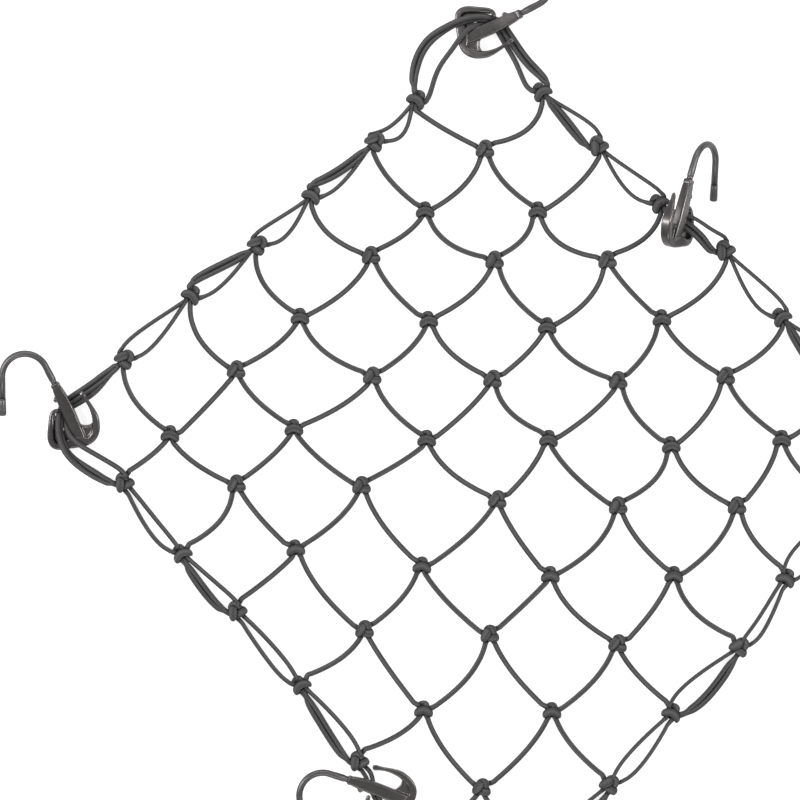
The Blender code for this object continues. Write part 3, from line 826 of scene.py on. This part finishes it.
# A clip's bars: right, up and out in the clip's coordinates, then width and depth.
clipSizes = {
    "band": [
        (-2.9, 28.9, 0.9, 1.6, 1.0), (-2.3, 28.4, 0.9, 3.1, 1.6), (-1.5, 27.4, 0.8, 3.6, 2.2),
        (-0.4, 25.8, 0.5, 3.0, 2.9), (1.4, 23.2, 0.2, 2.3, 4.1), (3.2, 20.4, 0.0, 2.5, 5.2),
        (4.8, 17.4, 0.0, 3.1, 6.0), (6.1, 14.3, 0.0, 3.8, 6.5), (6.8, 11.3, 0.0, 4.4, 6.6),
        (7.0, 6.4, 0.0, 4.8, 6.6), (6.3, 2.9, 0.0, 5.0, 6.6), (4.6, 0.0, 0.0, 5.1, 6.6),
        (2.2, -2.0, 0.0, 5.1, 6.6), (-0.8, -2.6, 0.0, 6.2, 6.6), (-7.5, -3.3, 0.0, 7.2, 6.6),
        (-12.0, -4.6, 0.0, 5.8, 6.6), (-15.0, -5.6, 0.0, 4.8, 6.6), (-18.0, -5.7, 0.0, 4.5, 6.6),
        (-20.3, -4.4, 0.0, 4.6, 6.6), (-21.7, -1.8, 0.0, 4.4, 6.6), (-22.0, 1.8, 0.0, 4.4, 6.6),
        (-21.7, 7.8, 0.0, 3.8, 6.4), (-21.5, 12.4, 0.0, 3.3, 5.2), (-20.8, 15.4, 0.2, 2.8, 4.0),
        (-19.0, 16.8, 0.5, 2.7, 3.2), (-17.7, 17.3, 0.7, 2.3, 2.6), (-17.0, 17.5, 0.8, 1.1, 1.2),
    ],
    "shank": [
        (-19.55, 34.85, 0.0, 4.2, 4.2), (-19.2, 34.2, 0.0, 5.6, 5.6), (-18.4, 32.6, 0.0, 5.8, 5.6),
        (-18.0, 31.8, 0.0, 5.4, 5.2), (-17.6, 31.0, -0.1, 6.2, 5.6), (-14.4, 24.4, -0.4, 7.6, 5.8),
        (-11.0, 17.0, -0.6, 8.2, 6.0), (-8.0, 9.9, -0.5, 8.1, 6.2), (-5.3, 3.9, -0.2, 7.6, 6.2),
        (-3.2, -0.6, 0.0, 6.6, 6.0), (-2.0, -2.6, 0.0, 4.0, 5.8),
    ],
    "rim": [
        (-4.8, 9.4, 0.0, 1.0, 2.9), (-3.4, 8.2, 0.0, 1.0, 2.9), (-1.7, 7.5, 0.0, 1.0, 2.9),
        (0.2, 7.3, 0.0, 1.0, 2.9), (2.1, 7.5, 0.0, 1.0, 2.9), (3.8, 8.3, 0.0, 1.0, 2.9),
        (5.4, 9.7, 0.0, 1.0, 2.9),
    ],
    "lug": [
        (-16.8, 28.2, -1.5, 1.6, 1.4), (-17.4, 27.0, -1.6, 3.0, 2.4), (-18.4, 24.6, -1.6, 3.2, 2.4),
        (-19.2, 23.0, -1.6, 2.8, 2.4), (-19.6, 22.4, -1.6, 1.6, 1.4),
    ],
    # The walls in the pockets: right, then where the wall starts and ends above.
    "rightWall": [(-4.6, -1.5, 9.0), (-3.4, -1.5, 8.2), (-1.7, -1.7, 7.5), (0.2, -1.8, 7.3),
                  (2.1, -1.7, 7.5), (3.8, -1.5, 8.3), (5.4, 0.5, 9.7)],
    "leftWall": [(-21.0, -3.0, 15.4), (-20.0, -3.4, 15.0), (-19.0, -3.8, 14.0), (-18.7, -4.0, 7.6),
                 (-17.6, -4.4, 5.6), (-14.0, -4.4, 4.6), (-10.0, -4.0, 4.8), (-6.0, -3.4, 6.2)],
    "wallDepth": 1.8,
    "chamfer": 0.75,
    "rings": 5,                # from one row to the next
    "cell": 0.3,               # mm, of the net that makes one skin of the bars
    "smoothing": (0.5, 3),     # strength and rounds
    "keep": 0.28,              # part of that skin's faces that is kept
}
wireSizes = {
    "radius": 2.15,
    "archMiddle": (-38.1, 39.0),
    "archRadius": 14.7,
    "archSteps": 40,
    "legEnd": 24.3,
    "rise": 0.3,               # start of the wire above the shank's collar
    # The neck and the thicker sleeve on the wire's start: distance along it and radius.
    "sleeve": [(0.0, 2.0), (1.4, 2.0), (2.1, 2.0), (2.2, 2.0), (2.5, 2.18), (2.8, 2.28), (8.9, 2.28),
               (10.5, 2.15)],
    "sides": 24,
}
capSizes = {
    # Its sections: distance up the clip and radius.
    "rows": [(24.6, 1.9), (24.6, 2.2), (24.5, 2.38), (24.1, 2.42), (23.95, 2.3), (23.75, 2.26),
             (23.5, 2.34), (20.5, 2.42), (17.5, 2.5), (15.2, 2.5), (14.5, 2.4), (14.0, 2.05),
             (13.76, 1.5), (13.7, 0.8)],
}


def chamferedCorners(width, depth):
    chamfer = min(clipSizes["chamfer"], width / 4, depth / 4)
    corners = []
    for sx, sz in ((1, 1), (-1, 1), (-1, -1), (1, -1)):
        wide = (width / 2 * sx, (depth / 2 - chamfer) * sz)
        deep = ((width / 2 - chamfer) * sx, depth / 2 * sz)
        corners += [wide, deep] if sx * sz > 0 else [deep, wide]
    return corners


def roundCorners(width, depth):
    turns = [2 * math.pi * step / wireSizes["sides"] for step in range(wireSizes["sides"])]
    return [(width / 2 * math.cos(turn), depth / 2 * math.sin(turn)) for turn in turns]


def addBar(form, rows, corners, upright=False):
    # A closed bar round a line in the clip's face, with its sections square to the line or upright.
    rings = []
    for index, (x, y, z, width, depth) in enumerate(rows):
        before, after = rows[max(index - 1, 0)], rows[min(index + 1, len(rows) - 1)]
        along = Vector((after[0] - before[0], after[1] - before[1], 0)).normalized()
        across = Vector((0, 1, 0)) if upright else Vector((-along.y, along.x, 0))
        rings.append([form.verts.new(Vector((x, y, z)) + across * u + Vector((0, 0, v)))
                      for u, v in corners(width, depth)])
    count = len(rings[0])
    for first, second in zip(rings, rings[1:]):
        for k in range(count):
            form.faces.new((first[k], first[(k + 1) % count], second[(k + 1) % count], second[k]))
    form.faces.new(rings[0])
    form.faces.new(rings[-1])


def between(a, b, c, d, t):
    # The value at t of a smooth line through four values, from the second to the third.
    slope, bend, twist = (c - a) / 2, (2 * a - 5 * b + 4 * c - d) / 2, (3 * b - a - 3 * c + d) / 2
    return b + t * slope + t * t * bend + t ** 3 * twist


def moreRows(rows):
    made, steps = [], clipSizes["rings"]
    for index in range(len(rows) - 1):
        picked = [rows[min(max(index + shift, 0), len(rows) - 1)] for shift in (-1, 0, 1, 2)]
        for step in range(steps):
            made.append(tuple(between(*values, step / steps) for values in zip(*picked)))
    return made + [rows[-1]]


def meshOf(name, form):
    bmesh.ops.recalc_face_normals(form, faces=form.faces)
    mesh = bpy.data.meshes.new(name)
    form.to_mesh(mesh)
    form.free()
    return mesh


def clipSkin():
    form = bmesh.new()
    for bar in ("band", "shank", "rim", "lug"):
        addBar(form, moreRows(clipSizes[bar]), chamferedCorners)
    for wall in ("rightWall", "leftWall"):
        rows = [(right, (low + high) / 2, 0.0, high - low, clipSizes["wallDepth"])
                for right, low, high in moreRows(clipSizes[wall])]
        addBar(form, rows, chamferedCorners, upright=True)
    holder = bpy.data.objects.new("clipBars", meshOf("clipBars", form))
    bpy.context.scene.collection.objects.link(holder)
    remesh = holder.modifiers.new("skin", "REMESH")
    remesh.mode, remesh.voxel_size = "VOXEL", clipSizes["cell"]
    smooth = holder.modifiers.new("smooth", "SMOOTH")
    smooth.factor, smooth.iterations = clipSizes["smoothing"]
    fewer = holder.modifiers.new("fewer", "DECIMATE")
    fewer.ratio = clipSizes["keep"]
    skin = finished(holder)
    bpy.data.objects.remove(holder)
    return skin


def wireSkin():
    collar, below = [Vector(row[:2]) for row in (clipSizes["shank"][1], clipSizes["shank"][3])]
    outward = (collar - below).normalized()
    middle, radius = Vector(wireSizes["archMiddle"]), wireSizes["archRadius"]
    first = collar + outward * wireSizes["rise"]
    start = math.atan2(outward.y, outward.x) - math.pi / 2
    straight = (middle + Vector((math.cos(start), math.sin(start))) * radius - first).normalized()
    line = [(first + straight * reach, size) for reach, size in wireSizes["sleeve"]]
    for step in range(wireSizes["archSteps"] + 1):
        turn = start + (math.pi - start) * step / wireSizes["archSteps"]
        line.append((middle + Vector((math.cos(turn), math.sin(turn))) * radius, wireSizes["radius"]))
    line.append((Vector((middle.x - radius, wireSizes["legEnd"])), wireSizes["radius"]))
    form = bmesh.new()
    addBar(form, [(*point, 0.0, size * 2, size * 2) for point, size in line], roundCorners)
    return meshOf("wire", form)


def capSkin():
    across = wireSizes["archMiddle"][0] - wireSizes["archRadius"]
    form = bmesh.new()
    addBar(form, [(across, up, 0.0, size * 2, size * 2) for up, size in capSizes["rows"]], roundCorners)
    return meshOf("cap", form)


hookLooks = {
    "clip": dict(dark=(0.068, 0.063, 0.063, 1), light=(0.117, 0.108, 0.108, 1), grain=700, cloud=60,
                 relief=0.02, roughness=(0.24, 0.34), metal=0.85),
    "wire": dict(dark=(0.060, 0.057, 0.058, 1), light=(0.105, 0.101, 0.101, 1), grain=500, cloud=90,
                 relief=0.008, roughness=(0.36, 0.46), metal=0.8),
    "cap": dict(dark=(0.060, 0.057, 0.058, 1), light=(0.105, 0.101, 0.101, 1), grain=500, cloud=120,
                relief=0.006, roughness=(0.32, 0.42), metal=0.8),
}
# What a hook's shade is made of, from dark at 0 to light at 1, and how much its grain stands out.
hookShares = {"grain": 0.5, "cloud": 0.9, "less": 0.2, "bump": 0.5}


def hookMaterial(name, dark, light, grain, cloud, relief, roughness, metal):
    material, shader, look = newMaterial(name, Metallic=metal)
    spot = look.node("ShaderNodeTexCoord", output=3)
    fine = look.node("ShaderNodeTexNoise", inputs={"Vector": spot, "Scale": grain, "Detail": 3.0})
    broad = look.node("ShaderNodeTexNoise", inputs={"Vector": spot, "Scale": cloud, "Detail": 4.0})
    shade = fine * hookShares["grain"] + broad * hookShares["cloud"] - hookShares["less"]
    low, high = roughness
    bumps = look.node("ShaderNodeBump", inputs={
        "Strength": hookShares["bump"], "Distance": relief * mm, "Height": fine})
    connect(shader, Base_Color=shade.clamped().blend(dark, light),
            Roughness=broad * (high - low) + low, Normal=bumps)
    return material


hookParts = {
    "clip": ("clipBody", clipSkin()),
    "wire": ("wireArch", wireSkin()),
    "cap": ("endCap", capSkin()),
}
for kind, (title, skin) in hookParts.items():
    skin.materials.clear()
    skin.materials.append(hookMaterial(f"{title}Finish", **hookLooks[kind]))
    skin.shade_smooth()
    for hook, matrix in hookMatrices.items():
        mesh = skin.copy()
        mesh.transform(netMatrix @ matrix)
        piece = bpy.data.objects.new(f"{title}_{hook}", mesh)
        bpy.context.scene.collection.objects.link(piece)
        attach(piece, "root")
        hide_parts(f"{kind}_{hook}")
    print(title, "made:", len(skin.polygons), "faces")

stage = {
    "floor": 6.0,              # metres across
    "floorCells": 8,
    "drop": 0.3 * mm,          # floor's depth below zero, where the lowest cord ends
    "grey": 0.3,
    "glow": 0.8,
    "camera": (-51.2, 25.6),   # net point under the camera
    "width": 512.0,            # mm across the picture
    "height": 3.0,             # metres above the floor
    "farthest": 20,            # metres that the camera sees
    "sky": 0.3,                # strength of the light from all round
}
# Soft boxes, aimed at the net's middle: place in metres, size and watts.
lights = {
    "leftBox": ((-1.7, 0.4, 1.7), (0.5, 1.6), 54),
    "rightBox": ((1.7, 0.2, 1.7), (0.5, 1.6), 44),
    "upperBox": ((0.0, 1.9, 1.5), (2.0, 0.9), 28),
    "lowerBox": ((0.0, -1.9, 1.5), (2.0, 0.9), 28),
}


def makeFloor():
    form = bmesh.new()
    cells = stage["floorCells"]
    bmesh.ops.create_grid(form, x_segments=cells, y_segments=cells, size=stage["floor"] / 2)
    mesh = bpy.data.meshes.new("floor")
    form.to_mesh(mesh)
    form.free()
    floor = bpy.data.objects.new("floor", mesh)
    bpy.context.scene.collection.objects.link(floor)
    grey, white = (stage["grey"],) * 3 + (1,), (1, 1, 1, 1)
    mesh.materials.append(newMaterial("floorPaper", Roughness=0.9, Base_Color=grey,
                                      Emission_Color=white, Emission_Strength=stage["glow"])[0])
    floor.location.z = -stage["drop"]


def makeLight(name, place, size, power):
    light = bpy.data.objects.new(name, bpy.data.lights.new(name, "AREA"))
    light.data.energy = power
    light.data.shape = "RECTANGLE"
    light.data.size, light.data.size_y = size
    light.location = Matrix.Rotation(math.radians(net["turn"]), 3, "Z") @ Vector(place)
    light.rotation_euler = (-light.location).to_track_quat("-Z", "Y").to_euler()
    bpy.context.scene.collection.objects.link(light)


def makeCamera():
    camera = bpy.data.objects.new("camera", bpy.data.cameras.new("camera"))
    camera.location = netMatrix @ Vector((*stage["camera"], stage["height"] / mm))
    camera.rotation_euler = (0, 0, math.radians(net["turn"]))
    camera.data.lens = camera.data.sensor_width * stage["height"] / (stage["width"] * mm)
    camera.data.clip_end = stage["farthest"]
    bpy.context.scene.collection.objects.link(camera)
    bpy.context.scene.camera = camera


makeFloor()
for name, (place, size, power) in lights.items():
    makeLight(name, place, size, power)
world = bpy.data.worlds.new("studio")
world.use_nodes = True
sky = world.node_tree.nodes["Background"].inputs
sky["Color"].default_value = (1, 1, 1, 1)
sky["Strength"].default_value = stage["sky"]
bpy.context.scene.world = world
bpy.context.scene.view_settings.view_transform = "Standard"
makeCamera()
print("floor, lights and camera placed")
